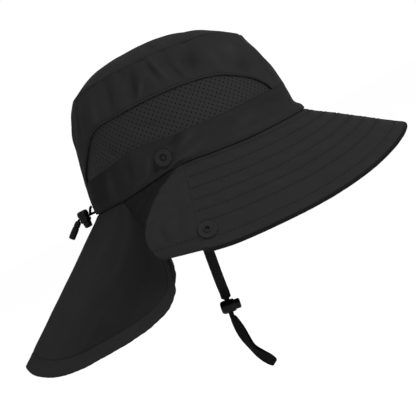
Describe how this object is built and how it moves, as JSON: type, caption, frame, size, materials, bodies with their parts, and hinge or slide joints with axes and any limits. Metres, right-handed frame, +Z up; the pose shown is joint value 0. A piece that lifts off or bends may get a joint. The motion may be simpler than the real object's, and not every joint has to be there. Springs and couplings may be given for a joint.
{
  "type": "sun hat",
  "caption": "Soft bucket sun hat with mesh side vents, stitched brim, folding gussets, neck cape, chin strap and rear drawcord, both with spring cord locks.",
  "frame": {"origin": "centre of the head opening, level with the band's lower edge at the back", "axes": "+Z up through the crown, -Y towards the front of the brim, -X towards the wearer's right"},
  "size_m": [0.2526, 0.391, 0.3032],
  "materials": {
    "black_cloth": "matte woven",
    "black_cape_cloth": "matte woven",
    "black_mesh": "matte knitted mesh",
    "black_binding": "matte woven",
    "black_lace": "matte woven",
    "black_plastic": "satin",
    "black_snap": "satin"
  },
  "bodies": {
    "hat": {"band_snap_left": "black_snap", "band_snap_right": "black_snap", "brim": "black_cloth", "brim_hem": "black_binding", "brim_snap_left": "black_snap", "brim_snap_right": "black_snap", "cape_hem": "black_cape_cloth", "chin_lock_body": "black_plastic", "chin_strap_left": "black_lace", "chin_strap_right": "black_lace", "cord_end": "black_plastic", "crown_band": "black_cloth", "crown_side": "black_cloth", "crown_tip": "black_cloth", "drawcord_left": "black_lace", "drawcord_right": "black_lace", "gusset_hem_left": "black_binding", "gusset_hem_right": "black_binding", "gusset_left": "black_cloth", "gusset_right": "black_cloth", "mesh_vent_left": "black_mesh", "mesh_vent_right": "black_mesh", "neck_cape": "black_cape_cloth", "rear_lock_body": "black_plastic"},
    "chin_plunger": {"chin_lock_plunger": "black_plastic"},
    "rear_plunger": {"rear_lock_plunger": "black_plastic"}
  },
  "joints": [
    {"name": "chin_lock_press", "type": "slide", "parent": "hat", "child": "chin_plunger", "axis": [0, 0.9877, 0.1564], "range_m": [0, 0.0022], "stiffness_N_per_m": 150, "springref_m": -0.002},
    {"name": "rear_lock_press", "type": "slide", "parent": "hat", "child": "rear_plunger", "axis": [0, 0, 1], "range_m": [0, 0.0022], "stiffness_N_per_m": 150, "springref_m": -0.002}
  ]
}
